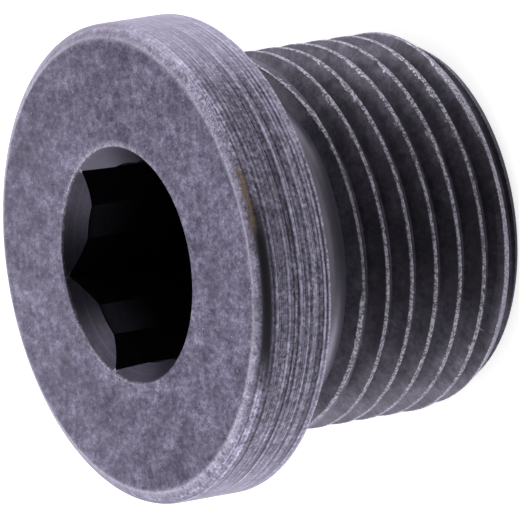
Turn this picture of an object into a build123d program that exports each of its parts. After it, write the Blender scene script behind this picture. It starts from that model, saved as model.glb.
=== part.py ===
from build123d import *
import math
import os

os.makedirs("parts", exist_ok=True)

# All lengths are in mm and all angles in degrees.
# The plug stands on its thread end: z = 0 is the end face and +Z points out of the head.
# +X points through one flat of the hexagon socket.

# Collar
COLLAR_D = 25.0
COLLAR_THICKNESS = 4.2
COLLAR_RIM_CHAMFER_RADIAL = 0.7
COLLAR_RIM_CHAMFER_AXIAL = 0.4
COLLAR_BACK_BREAK = 0.12

# Shank under the collar
SHANK_LENGTH = 14.0

# Thread, right-hand, metric 60 degree form with a flat root
THREAD_PITCH = 1.5
THREAD_MAJOR_D = 19.9
THREAD_ANGLE = 60.0
SHARP_V_HEIGHT = THREAD_PITCH * math.sqrt(3) / 2
THREAD_CREST_FLAT = THREAD_PITCH / 8
THREAD_DEPTH = SHARP_V_HEIGHT * 17 / 24
# the last groove crosses +X this far below the relief's edge, and fades from there
THREAD_FADE_START = 0.519
# angle over which it climbs out of the shank
THREAD_FADE_ANGLE = 165.0

# Lead-in cone at the thread's end
END_FACE_D = 18.2
END_CHAMFER_LENGTH = 1.47

# Relief groove between thread and collar
RELIEF_D = 17.7
RELIEF_WIDTH = 3.6
RELIEF_CORNER_RADIUS = 0.8
RELIEF_FLANK_ANGLE = 30.0

# Hexagon socket, broached over a drilled pilot bore
HEX_ACROSS_FLATS = 10.2
HEX_DEPTH = 7.5
PILOT_D = 10.4
PILOT_BELOW_HEX = 1.0
DRILL_POINT_ANGLE = 118.0
MOUTH_D = 12.4
MOUTH_COUNTERSINK_ANGLE = 90.0

# How far cutting shapes stand proud of the surface they cut
CUT_OVER = 0.1

TOTAL_HEIGHT = SHANK_LENGTH + COLLAR_THICKNESS
RELIEF_EDGE_Z = SHANK_LENGTH - RELIEF_WIDTH
THREAD_R = THREAD_MAJOR_D / 2
THREAD_FULL_END_Z = RELIEF_EDGE_Z - THREAD_FADE_START


def turned_blank():
    """Collar, relief groove and plain shank as one turned shape."""
    collar_r = COLLAR_D / 2
    relief_r = RELIEF_D / 2
    flank_rise = (THREAD_R - relief_r) * math.tan(math.radians(RELIEF_FLANK_ANGLE))
    # the flank turns into the floor through this angle
    turn = math.radians(90 - RELIEF_FLANK_ANGLE)
    tangent = RELIEF_CORNER_RADIUS * math.tan(turn / 2)
    corner_z = RELIEF_EDGE_Z + flank_rise
    flank = math.radians(RELIEF_FLANK_ANGLE)
    round_low_start = (relief_r + tangent * math.cos(flank), corner_z - tangent * math.sin(flank))
    round_low_end = (relief_r, corner_z + tangent)
    round_high_start = (relief_r, SHANK_LENGTH - RELIEF_CORNER_RADIUS)
    round_high_end = (relief_r + RELIEF_CORNER_RADIUS, SHANK_LENGTH)

    with BuildPart() as blank:
        with BuildSketch(Plane.XZ):
            with BuildLine():
                Polyline(
                    (0, 0),
                    (END_FACE_D / 2, 0),
                    (THREAD_R, END_CHAMFER_LENGTH),
                    (THREAD_R, RELIEF_EDGE_Z),
                    round_low_start,
                )
                RadiusArc(round_low_start, round_low_end, RELIEF_CORNER_RADIUS)
                Line(round_low_end, round_high_start)
                RadiusArc(round_high_start, round_high_end, RELIEF_CORNER_RADIUS)
                Polyline(
                    round_high_end,
                    (collar_r - COLLAR_BACK_BREAK, SHANK_LENGTH),
                    (collar_r, SHANK_LENGTH + COLLAR_BACK_BREAK),
                    (collar_r, TOTAL_HEIGHT - COLLAR_RIM_CHAMFER_AXIAL),
                    (collar_r - COLLAR_RIM_CHAMFER_RADIAL, TOTAL_HEIGHT),
                    (0, TOTAL_HEIGHT),
                    (0, 0),
                )
            make_face()
        revolve(axis=Axis.Z)
    return blank.part


def groove_section():
    """Thread groove section in the XZ plane, centred on z = 0, with the shank surface at x = THREAD_R."""
    flank_slope = math.tan(math.radians(THREAD_ANGLE / 2))
    half_width = (THREAD_PITCH - THREAD_CREST_FLAT) / 2
    outer_half = half_width + CUT_OVER * flank_slope
    root_half = half_width - THREAD_DEPTH * flank_slope
    outer_r = THREAD_R + CUT_OVER
    root_r = THREAD_R - THREAD_DEPTH
    with BuildSketch(Plane.XZ) as section:
        with BuildLine():
            Polyline(
                (outer_r, outer_half),
                (root_r, root_half),
                (root_r, -root_half),
                (outer_r, -outer_half),
                (outer_r, outer_half),
            )
        make_face()
    return section.sketch


def groove_turns():
    """The helical groove at full depth, one solid a turn, from below the end face up to the start of the fade."""
    path = Helix(pitch=THREAD_PITCH, height=THREAD_PITCH, radius=THREAD_R)
    turn = sweep(groove_section(), path=path, is_frenet=True)
    count = math.ceil(THREAD_FULL_END_Z / THREAD_PITCH) + 1
    return [Pos(0, 0, THREAD_FULL_END_Z - (index + 1) * THREAD_PITCH) * turn for index in range(count)]


def fading_groove():
    """The same groove climbing out of the shank, so the thread ends softly before the collar."""
    height = THREAD_PITCH * THREAD_FADE_ANGLE / 360
    climb = THREAD_DEPTH + CUT_OVER
    cone = math.degrees(math.atan(climb / height))
    path = Helix(pitch=THREAD_PITCH, height=height, radius=THREAD_R, cone_angle=cone)
    groove = sweep(groove_section(), path=path, is_frenet=True)
    return Pos(0, 0, THREAD_FULL_END_Z) * groove


def hex_socket():
    """Countersunk hexagon socket with the pilot bore under it, as one cutting shape."""
    pilot_r = PILOT_D / 2
    pilot_floor_z = TOTAL_HEIGHT - HEX_DEPTH - PILOT_BELOW_HEX
    tip_z = pilot_floor_z - pilot_r / math.tan(math.radians(DRILL_POINT_ANGLE / 2))
    mouth_r = MOUTH_D / 2 + CUT_OVER * math.tan(math.radians(MOUTH_COUNTERSINK_ANGLE / 2))
    mouth_depth = mouth_r / math.tan(math.radians(MOUTH_COUNTERSINK_ANGLE / 2))
    with BuildPart() as socket:
        with BuildSketch(Plane.XY.offset(TOTAL_HEIGHT - HEX_DEPTH)):
            RegularPolygon(HEX_ACROSS_FLATS / 2, 6, major_radius=False, rotation=30)
        extrude(amount=HEX_DEPTH + CUT_OVER)
        with BuildSketch(Plane.XZ):
            with BuildLine():
                Polyline(
                    (0, tip_z),
                    (pilot_r, pilot_floor_z),
                    (pilot_r, TOTAL_HEIGHT + CUT_OVER),
                    (0, TOTAL_HEIGHT + CUT_OVER),
                    (0, tip_z),
                )
            make_face()
        revolve(axis=Axis.Z)
        with BuildSketch(Plane.XZ):
            with BuildLine():
                Polyline(
                    (0, TOTAL_HEIGHT + CUT_OVER - mouth_depth),
                    (mouth_r, TOTAL_HEIGHT + CUT_OVER),
                    (0, TOTAL_HEIGHT + CUT_OVER),
                    (0, TOTAL_HEIGHT + CUT_OVER - mouth_depth),
                )
            make_face()
        revolve(axis=Axis.Z)
    return socket.part


def screw_plug():
    """The whole plug."""
    threaded = turned_blank() - groove_turns()
    faded = threaded - fading_groove()
    return faded - hex_socket()


plug = screw_plug()
export_step(plug, "parts/screw_plug.step")
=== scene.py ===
"""Looks of a hex socket screw plug.

The plug is one turned steel piece.  A flat collar carries a countersunk hexagon socket, a relief groove
runs under the collar, and a fine right-hand thread ends in a short lead-in cone.  The whole skin is one
closed shell, made by one Geometry Nodes tree: turned strips follow a section, the thread and the socket
follow their own rules.
"""

import logging
import math
from dataclasses import dataclass, field
from enum import Enum
from functools import cached_property, reduce

import bmesh
import bpy
from mathutils import Matrix, Vector


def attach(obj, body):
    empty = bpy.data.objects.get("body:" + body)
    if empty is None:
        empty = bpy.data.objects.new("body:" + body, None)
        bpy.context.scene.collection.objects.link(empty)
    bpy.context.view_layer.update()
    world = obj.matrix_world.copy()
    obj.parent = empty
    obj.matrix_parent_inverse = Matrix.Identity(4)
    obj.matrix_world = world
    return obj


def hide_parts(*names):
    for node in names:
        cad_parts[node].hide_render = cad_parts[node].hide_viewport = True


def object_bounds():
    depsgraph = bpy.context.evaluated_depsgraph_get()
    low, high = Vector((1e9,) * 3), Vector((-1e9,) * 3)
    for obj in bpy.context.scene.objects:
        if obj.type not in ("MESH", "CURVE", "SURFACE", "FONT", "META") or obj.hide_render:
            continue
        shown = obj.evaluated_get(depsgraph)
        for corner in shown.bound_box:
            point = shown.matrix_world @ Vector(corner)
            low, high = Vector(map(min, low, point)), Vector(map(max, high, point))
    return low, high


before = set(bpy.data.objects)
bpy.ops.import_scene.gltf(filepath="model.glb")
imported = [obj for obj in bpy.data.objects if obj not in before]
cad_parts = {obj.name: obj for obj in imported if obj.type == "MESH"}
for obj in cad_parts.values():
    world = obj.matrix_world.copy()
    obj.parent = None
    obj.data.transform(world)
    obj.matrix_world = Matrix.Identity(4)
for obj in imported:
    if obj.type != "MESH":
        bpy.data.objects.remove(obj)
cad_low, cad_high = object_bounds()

log = logging.getLogger("screw_plug")

MM = 0.001
BODY = "root"
CAD_NODE = "screw_plug"

# Steps of the mesh round the axis, millimetres within which its points become one, and its sharp edges.
COLUMNS = 432
MERGE_DISTANCE = 0.0015
SHARP_ANGLE = math.radians(24)

# Half the thread's angle, the fall of radius along its flanks, and half the angle of a flat of the hexagon.
FLANK_ANGLE = math.radians(30)
FLANK_SLOPE = 1 / math.tan(FLANK_ANGLE)
HALF_FLAT_ANGLE = math.tau / 12

# Shift of the mesh's random patterns, millimetres between turning lines, and degrees to the rough side.
SEED = 7.0
TURNING_FEED = 0.245
ROUGH_DIRECTION = 324.0

# Colour of dark oxide and of painted shade.
STAIN_AND_SHADE = (0.012, 0.011, 0.015, 1.0)
OCHRE = (0.2, 0.135, 0.075, 1.0)

SOCKET_KINDS = {
    bpy.types.Object: "NodeSocketObject",
    bpy.types.Material: "NodeSocketMaterial",
    float: "NodeSocketFloat",
}

Colour = tuple[float, float, float, float]
Point = tuple[float, float]
Value = "Term | float"


def placed(name: str, data: bpy.types.ID) -> bpy.types.Object:
    """Puts a new object into the scene.

    Args:
        name: The object's name.
        data: Its mesh, lamp or camera.

    Returns:
        The object.
    """
    thing = bpy.data.objects.new(name, data)
    bpy.context.scene.collection.objects.link(thing)
    return thing


def blank_material(name: str) -> bpy.types.Material:
    """Makes a material with an empty node tree.

    Args:
        name: The material's name.

    Returns:
        The material.
    """
    material = bpy.data.materials.new(name)
    material.use_nodes = True
    material.node_tree.nodes.clear()
    return material


# ------------------------------------------------------------------------------
# Sizes
# ------------------------------------------------------------------------------


@dataclass(frozen=True)
class PlugSizes:
    """Sizes of the plug in millimetres, with z = 0 at the thread's end face and z pointing to the head."""

    height: float
    collar_radius: float
    collar_thickness: float = 4.2
    rim_chamfer_radial: float = 0.7
    rim_chamfer_axial: float = 0.4
    rim_chamfer_outer_round: float = 0.26
    rim_chamfer_inner_round: float = 0.07
    back_burr: float = 0.08
    back_burr_width: float = 0.12
    back_burr_round: float = 0.03
    crest_radius: float = 9.95
    pitch: float = 1.5
    thread_depth: float = 0.92
    crest_flat: float = 0.1875
    fade_start_below_relief: float = 0.519
    fade_angle: float = 122.0
    end_face_radius: float = 9.1
    lead_in_length: float = 1.47
    relief_radius: float = 8.85
    relief_width: float = 3.6
    relief_corner: float = 0.8
    relief_flank_angle: float = 30.0
    hex_flat: float = 5.1
    hex_corner_flare: float = 0.13
    hex_depth: float = 7.5
    pilot_radius: float = 5.2
    pilot_below_hex: float = 1.0
    drill_point_angle: float = 118.0
    mouth_radius: float = 6.2
    edge_round: float = 0.03

    @property
    def collar_back_z(self) -> float:
        """Height of the collar's underside."""
        return self.height - self.collar_thickness

    @property
    def relief_edge_z(self) -> float:
        """Height where the relief's flank reaches the thread's crest."""
        return self.collar_back_z - self.relief_width

    @property
    def hex_corner_radius(self) -> float:
        """Distance from the axis to the hexagon's corners."""
        return (self.hex_flat + self.hex_corner_flare) / math.cos(HALF_FLAT_ANGLE)

    @property
    def relief_flank_slope(self) -> float:
        """Fall of radius per millimetre of height along the relief's flank."""
        return 1 / math.tan(math.radians(self.relief_flank_angle))

    @property
    def relief_flank_top(self) -> Point:
        """Radius and height where the relief's straight flank turns into the floor's rounding."""
        tangent = self.relief_corner * math.tan(math.radians(90 - self.relief_flank_angle) / 2)
        corner_z = self.relief_edge_z + (self.crest_radius - self.relief_radius) / self.relief_flank_slope
        flank = math.radians(self.relief_flank_angle)
        return self.relief_radius + tangent * math.cos(flank), corner_z - tangent * math.sin(flank)


@dataclass(frozen=True)
class ReliefCourse:
    """How the relief's lower side wanders along the axis, in millimetres, as the tool left it."""

    rest: float = -0.02
    dip: float = 0.11
    dip_angles: Point = (246.0, 251.0)
    climb: float = 0.221
    climb_angles: Point = (253.0, 306.0)
    lift: float = 0.52
    lift_angles: Point = (298.0, 332.0)
    settle_angle: float = 120.0

    def flank(self, turn: "Term") -> "Term":
        """Shift of the flank's top.

        Args:
            turn: Part of a full turn, from +X towards +Y.

        Returns:
            The shift.
        """
        first, last = self.lift_angles
        risen = (turn * 360.0).held(first, last) - first
        settled = (turn * 360.0).ramp(self.settle_angle, 0.0) * turn.below(0.5)
        return (risen / (last - first) + settled) * self.lift

    def edge(self, turn: "Term") -> "Term":
        """Shift of the edge between the flank and the thread's crest.

        Args:
            turn: Part of a full turn, from +X towards +Y.

        Returns:
            The shift.
        """
        degrees = turn * 360.0
        first, last = self.climb_angles
        climbed = (degrees.held(first, last) - first) * (self.climb / (last - first))
        settled = degrees.ramp(self.settle_angle, 0.0) * turn.below(0.5)
        drop = degrees.ramp(*self.dip_angles) * -self.dip
        return self.flank(turn) + climbed + drop + settled * (self.climb - self.dip) + self.rest


# ------------------------------------------------------------------------------
# Node trees written as plain arithmetic
# ------------------------------------------------------------------------------


@dataclass(frozen=True)
class Term:
    """A number inside a node tree. Arithmetic on it adds Math nodes."""

    tree: bpy.types.NodeTree
    socket: bpy.types.NodeSocket

    def math(self, operation: str, *others: Value, clamp: bool = False) -> "Term":
        """Adds one Math node.

        Args:
            operation: The Math node's operation.
            others: The node's other operands, as terms or plain numbers.
            clamp: Whether the result is held between 0 and 1.

        Returns:
            The node's result.
        """
        node = self.tree.nodes.new("ShaderNodeMath")
        node.operation = operation
        node.use_clamp = clamp
        for slot, operand in zip(node.inputs, (self, *others)):
            if isinstance(operand, Term):
                self.tree.links.new(operand.socket, slot)
            else:
                slot.default_value = operand
        return Term(self.tree, node.outputs[0])

    def __add__(self, other: Value) -> "Term":
        """Sum."""
        return self.math("ADD", other)

    def __sub__(self, other: Value) -> "Term":
        """Difference."""
        return self.math("SUBTRACT", other)

    def __rsub__(self, other: float) -> "Term":
        """Difference with a plain number on the left."""
        return (self * -1.0) + other

    def __mul__(self, other: Value) -> "Term":
        """Product."""
        return self.math("MULTIPLY", other)

    def __truediv__(self, other: Value) -> "Term":
        """Quotient."""
        return self.math("DIVIDE", other)

    def __rtruediv__(self, other: float) -> "Term":
        """Quotient with a plain number on the left."""
        return self.math("POWER", -1.0) * other

    def least(self, *others: Value) -> "Term":
        """The smallest of this and the other values."""
        return reduce(lambda smallest, other: smallest.math("MINIMUM", other), others, self)

    def most(self, *others: Value) -> "Term":
        """The largest of this and the other values."""
        return reduce(lambda largest, other: largest.math("MAXIMUM", other), others, self)

    def held(self, low: Value, high: Value) -> "Term":
        """This value, kept between low and high."""
        return self.most(low).least(high)

    def unit(self) -> "Term":
        """This value, kept between 0 and 1."""
        return self.math("ADD", 0.0, clamp=True)

    def below(self, other: Value) -> "Term":
        """1 where this is less than the other value, and 0 elsewhere."""
        return self.math("LESS_THAN", other)

    def above(self, other: Value) -> "Term":
        """1 where this is more than the other value, and 0 elsewhere."""
        return self.math("GREATER_THAN", other)

    def off_whole(self) -> "Term":
        """Distance from the nearest whole number."""
        return ((self + 0.5).math("FRACT") - 0.5).math("ABSOLUTE")

    def choose(self, when_one: Value, when_zero: Value) -> "Term":
        """when_one where this is 1, when_zero where it is 0, and a mix between."""
        return self * when_one + (1.0 - self) * when_zero

    def ramp(self, low: float, high: float) -> "Term":
        """Rises smoothly from 0 at low to 1 at high, or falls where high is less than low.

        Args:
            low: Where the ramp is 0.
            high: Where the ramp is 1.

        Returns:
            The ramp's value.
        """
        node = self.tree.nodes.new("ShaderNodeMapRange")
        node.interpolation_type = "SMOOTHSTEP"
        self.tree.links.new(self.socket, node.inputs["Value"])
        before, after = (0.0, 1.0) if low < high else (1.0, 0.0)
        ends = {"From Min": min(low, high), "From Max": max(low, high), "To Min": before, "To Max": after}
        for name, value in ends.items():
            node.inputs[name].default_value = value
        return Term(self.tree, node.outputs["Result"])


@dataclass
class Tree:
    """A node tree under construction, for geometry or for shading."""

    tree: bpy.types.NodeTree

    def node(
        self, kind: str, settings: dict[str, object] | None = None, **inputs: object
    ) -> bpy.types.Node:
        """Adds a node and fills its inputs.

        Args:
            kind: The node's type.
            settings: The node's own properties.
            inputs: Values, terms or sockets by input name, with _ for a space.

        Returns:
            The new node.
        """
        node = self.tree.nodes.new(kind)
        for name, value in (settings or {}).items():
            setattr(node, name, value)
        for name, value in inputs.items():
            self.fill(node, name.replace("_", " "), value)
        return node

    def fill(self, node: bpy.types.Node, name: str, value: object) -> None:
        """Links or sets one input of a node.

        Args:
            node: The node.
            name: The input's name.
            value: A term, a socket or a plain value.
        """
        slot = next(s for s in node.inputs if s.name == name and s.enabled)
        if isinstance(value, Term):
            self.tree.links.new(value.socket, slot)
        elif isinstance(value, bpy.types.NodeSocket):
            self.tree.links.new(value, slot)
        else:
            slot.default_value = value

    def term(self, socket: bpy.types.NodeSocket) -> Term:
        """A number socket as a term."""
        return Term(self.tree, socket)

    def number(self, value: float) -> Term:
        """A plain number as a term.

        Args:
            value: The number.

        Returns:
            The term.
        """
        node = self.tree.nodes.new("ShaderNodeValue")
        node.outputs[0].default_value = value
        return self.term(node.outputs[0])

    def vector(self, x: Value, y: Value, z: Value) -> bpy.types.NodeSocket:
        """A vector from its three parts."""
        return self.node("ShaderNodeCombineXYZ", X=x, Y=y, Z=z).outputs["Vector"]

    def parts(self, vector: bpy.types.NodeSocket) -> tuple[Term, Term, Term]:
        """The three parts of a vector."""
        outputs = self.node("ShaderNodeSeparateXYZ", Vector=vector).outputs
        return self.term(outputs[0]), self.term(outputs[1]), self.term(outputs[2])

    def noise(
        self, vector: bpy.types.NodeSocket, scale: Value, detail: float = 2.0, roughness: float = 0.5
    ) -> Term:
        """Soft random values around 0.5."""
        node = self.node("ShaderNodeTexNoise", Vector=vector, Scale=scale, Detail=detail, Roughness=roughness)
        return self.term(node.outputs[0])


class RuleTree(Tree):
    """A Geometry Nodes group with named inputs."""

    def __init__(self, name: str) -> None:
        """Starts the group.

        Args:
            name: The group's name.
        """
        super().__init__(bpy.data.node_groups.new(name, "GeometryNodeTree"))
        self.tree.interface.new_socket("Geometry", in_out="OUTPUT", socket_type="NodeSocketGeometry")
        self.entry = self.tree.nodes.new("NodeGroupInput")
        self.exit = self.tree.nodes.new("NodeGroupOutput")

    def socket(self, name: str, kind: str) -> bpy.types.NodeSocket:
        """Adds a named input of any kind and returns its socket inside the group."""
        self.tree.interface.new_socket(name, in_out="INPUT", socket_type=kind)
        return self.entry.outputs[name]

    def size(self, name: str) -> Term:
        """Adds a named number input."""
        return self.term(self.socket(name, "NodeSocketFloat"))

    def sheet(self, columns: Term, rows: Term) -> tuple[bpy.types.NodeSocket, Term, Term]:
        """Adds a flat grid whose columns go round the axis and whose rows follow the section.

        Args:
            columns: Number of steps round the axis.
            rows: Number of steps along the section.

        Returns:
            The grid, and the column and row of each of its points.
        """
        counts = {"Vertices_X": columns + 1.0, "Vertices_Y": rows + 1.0}
        grid = self.node("GeometryNodeMeshGrid", Size_X=columns, Size_Y=rows, **counts)
        across, along, _ = self.parts(self.node("GeometryNodeInputPosition").outputs[0])
        kept = self.node("GeometryNodeCaptureAttribute", Geometry=grid.outputs["Mesh"])
        for label, place in (("Column", across + columns / 2.0), ("Row", along + rows / 2.0)):
            kept.capture_items.new("FLOAT", label)
            self.fill(kept, label, place.math("ROUND"))
        return kept.outputs["Geometry"], self.term(kept.outputs["Column"]), self.term(kept.outputs["Row"])

    def round_axis(self, turn: Term, radius: Value, height: Term) -> bpy.types.NodeSocket:
        """The place at a part of a full turn, a radius and a height."""
        angle = turn * math.tau
        return self.vector(angle.math("COSINE") * radius, angle.math("SINE") * radius, height)

    def turned(
        self, sheet: bpy.types.NodeSocket, turn: Term, radius: Term, height: Term
    ) -> bpy.types.NodeSocket:
        """Rolls a sheet round the axis."""
        place = self.round_axis(turn, radius, height)
        return self.node("GeometryNodeSetPosition", Geometry=sheet, Position=place).outputs[0]

    def end(self, last: bpy.types.Node) -> bpy.types.NodeTree:
        """Ends the group with its last node."""
        self.tree.links.new(last.outputs[0], self.exit.inputs[0])
        return self.tree

    def finish(
        self, geometry: bpy.types.NodeSocket, material: bpy.types.NodeSocket
    ) -> bpy.types.NodeTree:
        """Gives the surface its material and ends the group."""
        dressed = self.node("GeometryNodeSetMaterial", Geometry=geometry, Material=material)
        return self.end(dressed)


# ------------------------------------------------------------------------------
# Finishes
# ------------------------------------------------------------------------------


class Line(Enum):
    """Which way the turning lines run over a surface."""

    ROUND_THE_SIDE = "height"
    ROUND_THE_FACE = "radius"


class MaskTree(Tree):
    """A shader group that reads coordinates and named numbers, and puts out masks or values only."""

    def __init__(self, name: str, *numbers: str) -> None:
        """Starts the group.

        Args:
            name: The group's name.
            numbers: Names of its number inputs.
        """
        super().__init__(bpy.data.node_groups.new(name, "ShaderNodeTree"))
        kinds = {"Coordinates": "NodeSocketVector"} | dict.fromkeys(numbers, "NodeSocketFloat")
        for label, kind in kinds.items():
            self.tree.interface.new_socket(label, in_out="INPUT", socket_type=kind)
        self.entry = self.tree.nodes.new("NodeGroupInput")
        self.place = self.entry.outputs["Coordinates"]

    def given(self, name: str) -> Term:
        """A named number input."""
        return self.term(self.entry.outputs[name])

    def finish(self, **results: Term) -> bpy.types.NodeTree:
        """Adds the named outputs and ends the group.

        Args:
            results: The group's outputs by name.

        Returns:
            The group.
        """
        for label in results:
            self.tree.interface.new_socket(label, in_out="OUTPUT", socket_type="NodeSocketFloat")
        leave = self.tree.nodes.new("NodeGroupOutput")
        for label, value in results.items():
            self.fill(leave, label, value)
        return self.tree


class ShadeGroups:
    """Shader node groups that several finishes share."""

    def __init__(self) -> None:
        """Builds each group once."""
        self.mottle = self._mottle()
        self.turning_lines = self._turning_lines()
        self.edge_band = self._edge_band()

    @staticmethod
    def _mottle() -> bpy.types.NodeTree:
        """Blotches and crystal grain of an oxide skin.

        Returns:
            The group.
        """
        tree = MaskTree("Oxide mottle", "Blotches", "Clouds", "Grain", "Grain Scale")
        blotches = tree.noise(tree.place, 0.45, 2.0, 0.6) - 0.5
        clouds = tree.noise(tree.place, 1.4, 1.0, 0.5) + tree.noise(tree.place, 3.4, 1.0, 0.6) - 1.0
        grain = tree.noise(tree.place, tree.given("Grain Scale"), 2.0, 0.8) - 0.5
        tone = blotches * tree.given("Blotches") + clouds * tree.given("Clouds")
        tone = tone + grain * tree.given("Grain") * (blotches * 1.5 + 1.0)
        return tree.finish(Tone=tone, Height=grain)

    @staticmethod
    def _turning_lines() -> bpy.types.NodeTree:
        """Fine broken lines left by a turning tool.

        Returns:
            The group.
        """
        tree = MaskTree("Turning lines", "Across")
        x, y, _ = tree.parts(tree.place)
        across = tree.given("Across")
        broad = tree.noise(tree.vector(x * 0.015, y * 0.015, across * 3.2), 1.0, 1.0, 0.6) - 0.5
        fine = tree.noise(tree.vector(x * 0.03 + 40.0, y * 0.03, across * 8.5), 1.0, 1.0, 0.7) - 0.5
        feed = ((across / TURNING_FEED + broad * 1.5) * math.tau).math("SINE")
        patch = tree.noise(tree.place, 0.7, 1.0, 0.5)
        tone = (broad * 0.45 + fine + feed * 0.08) * (patch * 1.2 + 0.4)
        return tree.finish(Tone=tone, Height=fine)

    @staticmethod
    def _edge_band() -> bpy.types.NodeTree:
        """Mask of a band along an edge, broken up along the edge: bright rubbed metal, and also the band of
        painted shade at the chamfer.

        Returns:
            The group.
        """
        tree = MaskTree("Edge band", "Distance", "Width", "Breakup", "Sparkle")
        rough = tree.noise(tree.place, 1.9, 4.0, 0.75) - 0.5
        width = tree.given("Width")
        reach = width + rough * tree.given("Breakup") * width * 2.0
        near = (1.0 - tree.given("Distance").most(0.0) / reach.most(0.001)).unit()
        beads = tree.noise(tree.place, 7.0, 2.0, 0.8).ramp(0.42, 0.6) * (rough * 2.6 + 1.1)
        sparkle = tree.given("Sparkle")
        return tree.finish(Mask=(near * (1.0 - sparkle + sparkle * beads)).unit())


@dataclass(frozen=True)
class SteelFinish:
    """Blackened steel over one part of the plug.

    Attributes:
        name: The material's name.
        line_run: Which way the turning lines run.
        dark: The oxide's darkest colour.
        light: The oxide's lightest colour.
        worn: Colour of rubbed metal, and of the painted light that the wear mask carries.
        roughness: Roughness of the whole surface.
        blotches: Strength of the broad blotches.
        clouds: Strength of the middle-sized clouds.
        grain: Strength of the crystal grain.
        lines: Strength of the turning lines.
        bump: Depth of the grain and the lines in millimetres.
        oil: Strength of the film of oil.
        level: Tone between dark and light, before the patterns.
        grain_scale: Crystals per millimetre.
        pull: Scale of Y where the patterns are read: less than 1 draws them out.
        turn_pull: The same for both X and Y.
        dust: Strength of the pale bloom at grazing angles.
    """

    name: str
    line_run: Line
    dark: Colour
    light: Colour
    worn: Colour
    roughness: float
    blotches: float
    clouds: float
    grain: float
    lines: float
    bump: float
    oil: float
    level: float = 0.5
    grain_scale: float = 8.5
    pull: float = 1.0
    turn_pull: float = 1.0
    dust: float = 0.0


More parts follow.
